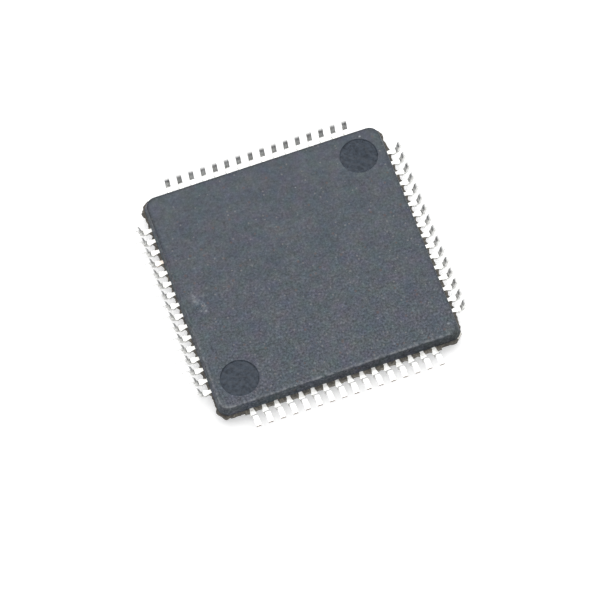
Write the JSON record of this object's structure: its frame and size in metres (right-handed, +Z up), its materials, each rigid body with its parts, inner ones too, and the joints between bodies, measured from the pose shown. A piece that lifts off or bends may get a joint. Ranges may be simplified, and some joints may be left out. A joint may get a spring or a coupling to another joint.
{
  "type": "quad flat pack chip",
  "caption": "Thin square quad flat pack chip, a dark moulding with a fine row of gull-wing leads along each side, lying soles up.",
  "frame": {"origin": "centre of the marked face, on which the chip lies", "axes": "+X and +Y along the body's sides, first lead at the +Y end of the +X side; +Z up, out of the blank underside, the way the soles of the feet point"},
  "size_m": [0.012, 0.012, 0.0011],
  "materials": {
    "moulding": "dark grey filled epoxy, finely rough",
    "tin_plating": "matt tin plating over copper alloy, bright and soft",
    "copper_pad": "bare copper alloy, sealed in the moulding but for the cut ends of the tie bars",
    "adhesive": "silver-filled epoxy",
    "silicon": "polished silicon",
    "gold_wire": "drawn gold wire"
  },
  "bodies": {
    "root": {"mould_body": "moulding", "die_pad": "copper_pad", "die_attach": "adhesive", "die": "silicon", "leads_01_02": "tin_plating", "leads_03_04": "tin_plating", "leads_05_06": "tin_plating", "leads_07_08": "tin_plating", "leads_09_10": "tin_plating", "leads_11_12": "tin_plating", "leads_13_14": "tin_plating", "leads_15_16": "tin_plating", "leads_17_18": "tin_plating", "leads_19_20": "tin_plating", "leads_21_22": "tin_plating", "leads_23_24": "tin_plating", "leads_25_26": "tin_plating", "leads_27_28": "tin_plating", "leads_29_30": "tin_plating", "leads_31_32": "tin_plating", "leads_33_34": "tin_plating", "leads_35_36": "tin_plating", "leads_37_38": "tin_plating", "leads_39_40": "tin_plating", "leads_41_42": "tin_plating", "leads_43_44": "tin_plating", "leads_45_46": "tin_plating", "leads_47_48": "tin_plating", "leads_49_50": "tin_plating", "leads_51_52": "tin_plating", "leads_53_54": "tin_plating", "leads_55_56": "tin_plating", "leads_57_58": "tin_plating", "leads_59_60": "tin_plating", "leads_61_62": "tin_plating", "leads_63_64": "tin_plating", "bond_wires_01_04": "gold_wire", "bond_wires_05_08": "gold_wire", "bond_wires_09_12": "gold_wire", "bond_wires_13_16": "gold_wire", "bond_wires_17_20": "gold_wire", "bond_wires_21_24": "gold_wire", "bond_wires_25_28": "gold_wire", "bond_wires_29_32": "gold_wire", "bond_wires_33_36": "gold_wire", "bond_wires_37_40": "gold_wire", "bond_wires_41_44": "gold_wire", "bond_wires_45_48": "gold_wire", "bond_wires_49_52": "gold_wire", "bond_wires_53_56": "gold_wire", "bond_wires_57_60": "gold_wire", "bond_wires_61_64": "gold_wire"}
  },
  "joints": []
}
